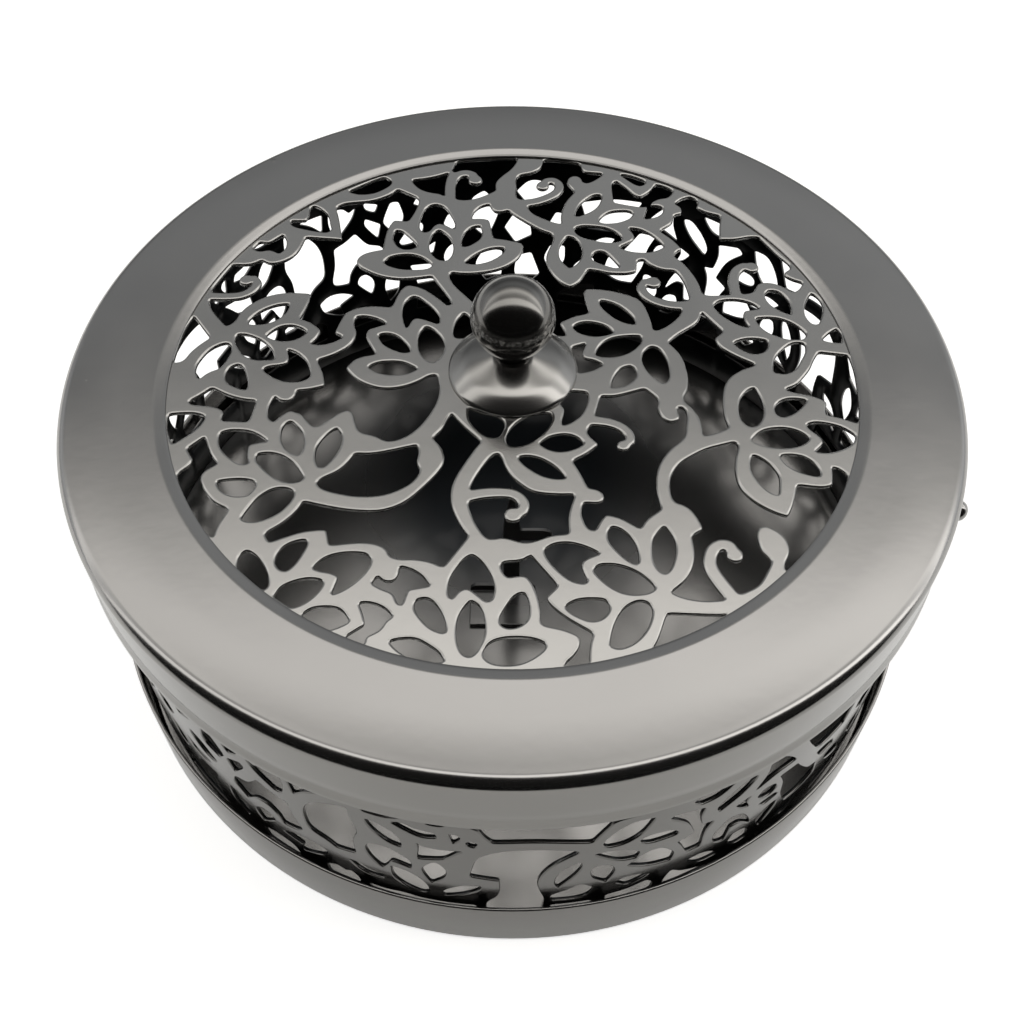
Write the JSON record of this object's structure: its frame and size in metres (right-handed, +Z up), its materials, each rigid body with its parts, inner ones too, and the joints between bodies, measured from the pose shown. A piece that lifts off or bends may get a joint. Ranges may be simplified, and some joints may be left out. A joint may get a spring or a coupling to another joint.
{
  "type": "mosquito coil holder",
  "caption": "Round coated steel box with a leaf and vine cut-out wall, a matching lift-off lid with a ball knob, and a bent steel stand for a mosquito coil.",
  "frame": {"origin": "centre of the base pan's flat underside", "axes": "+Z up along the axis of the box, -Y towards the viewer of the picture, +X to the viewer's right"},
  "size_m": [0.1488, 0.1488, 0.0786],
  "materials": {
    "lid_coating": "smooth semi-gloss pearl grey",
    "box_coating": "smooth semi-gloss pearl grey",
    "knob_coating": "glossy dark grey",
    "screw_plating": "bright zinc"
  },
  "bodies": {
    "box": {"base_pan": "box_coating", "wall_strip": "box_coating", "top_band": "box_coating", "coil_stand": "box_coating"},
    "knob": {"knob_ball": "knob_coating", "knob_rose": "lid_coating", "knob_washer": "screw_plating", "knob_screw": "screw_plating"},
    "lid": {"lid_rim": "lid_coating", "lid_panel": "lid_coating", "skirt_stud": "lid_coating"}
  },
  "joints": [
    {"name": "lid_lift", "type": "slide", "parent": "box", "child": "knob", "axis": [0, 0, 1], "range_m": [0, 0.08]},
    {"name": "lid_turn", "type": "hinge", "parent": "knob", "child": "lid", "pos_m": [0, 0, 0.0598], "axis": [0, 0, 1], "continuous": true}
  ]
}
